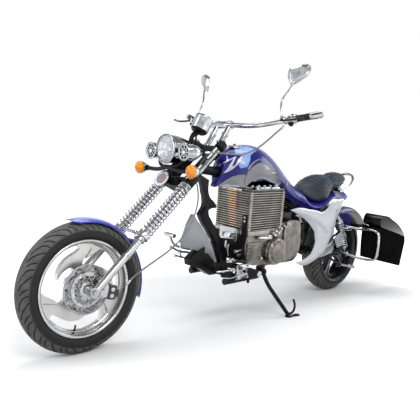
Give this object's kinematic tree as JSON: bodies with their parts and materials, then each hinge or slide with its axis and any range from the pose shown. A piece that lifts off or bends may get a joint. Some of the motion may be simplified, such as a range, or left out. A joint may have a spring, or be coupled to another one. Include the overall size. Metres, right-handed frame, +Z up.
{
  "type": "chopper motorcycle",
  "caption": "Raked chopper motorcycle leaning on its side stand, with sprung fork, wide handlebar, bullet lamps, finned engine, stretched tank, two-piece seat and hard saddlebags.",
  "frame": {"origin": "on the ground under the middle of the parked machine's box, the machine leaning to its left on the side stand", "axes": "+X forward along the machine, +Y to the rider's left, +Z up"},
  "size_m": [2.5797, 1.0138, 1.3671],
  "materials": {
    "tyre": "matt",
    "rim_alloy": "satin",
    "rim_dark": "satin",
    "disc_steel": "brushed",
    "chrome": "polished",
    "black_paint": "satin",
    "grip_rubber": "matt",
    "polished_alloy": "polished",
    "lens_glass": "clear",
    "lens_amber": "gloss",
    "blue_paint": "gloss",
    "hose_braid": "satin",
    "seat_leather": "satin",
    "engine_alloy": "satin",
    "grey_paint": "satin",
    "silver_paint": "satin",
    "black_gloss": "gloss"
  },
  "bodies": {
    "chassis": {"frame": "black_paint", "tank": "blue_paint", "tail_body": "blue_paint", "seat": "seat_leather", "pillion_pad": "seat_leather", "cylinder_block": "engine_alloy", "crankcase": "engine_alloy", "engine_covers": "polished_alloy", "carburettor": "polished_alloy", "chin_panel": "grey_paint", "side_panels": "silver_paint", "rear_fender": "black_gloss", "swingarm": "black_paint", "rear_axle": "chrome", "rear_shocks": "black_paint", "grab_rail": "chrome", "saddlebag_left": "black_gloss", "saddlebag_right": "black_gloss", "bag_guards": "chrome", "foot_controls": "chrome"},
    "fork": {"front_axle": "chrome", "fork_sliders": "chrome", "fork_tubes": "chrome", "fork_springs": "chrome", "lower_clamp": "black_paint", "upper_clamp": "black_paint", "handlebar": "chrome", "grips": "grip_rubber", "hand_controls": "polished_alloy", "risers": "chrome", "mirrors": "chrome", "headlight": "chrome", "headlight_lens": "lens_glass", "speakers": "chrome", "signal_lenses": "lens_amber", "gauge": "chrome", "lamp_bracket": "black_paint", "front_mudguard": "blue_paint", "brake_caliper": "polished_alloy", "hoses": "hose_braid"},
    "front_wheel": {"front_tyre": "tyre", "front_rim": "rim_alloy", "front_disc": "disc_steel"},
    "rear_wheel": {"rear_tyre": "tyre", "rear_rim": "rim_dark", "rear_disc": "disc_steel"},
    "side_stand": {"side_stand": "black_paint"},
    "left_lid": {"bag_lid_left": "black_gloss"},
    "right_lid": {"bag_lid_right": "black_gloss"}
  },
  "joints": [
    {"name": "steering", "type": "hinge", "parent": "chassis", "child": "fork", "pos_m": [0.34108, -0.03024, 0.81075], "axis": [-0.7315, 0.0713, 0.6781], "range_deg": [-26.5, 33.5]},
    {"name": "front_wheel_spin", "type": "hinge", "parent": "fork", "child": "front_wheel", "pos_m": [0.99608, -0.08866, 0.29357], "axis": [0.0416, 0.9973, -0.0599], "continuous": true},
    {"name": "rear_wheel_spin", "type": "hinge", "parent": "chassis", "child": "rear_wheel", "pos_m": [-0.93384, -0.08669, 0.27339], "axis": [0, 0.9945, -0.1045], "continuous": true},
    {"name": "stand_fold", "type": "hinge", "parent": "chassis", "child": "side_stand", "pos_m": [-0.04183, 0.06966, 0.24963], "axis": [0, 0.9945, -0.1045], "range_deg": [0, 60]},
    {"name": "left_lid_hinge", "type": "hinge", "parent": "chassis", "child": "left_lid", "pos_m": [-1.08387, 0.14548, 0.42542], "axis": [0.9685, 0.026, 0.2476], "range_deg": [0, 70]},
    {"name": "right_lid_hinge", "type": "hinge", "parent": "chassis", "child": "right_lid", "pos_m": [-1.08388, -0.28216, 0.47037], "axis": [-0.9685, -0.026, -0.2476], "range_deg": [0, 70]}
  ]
}
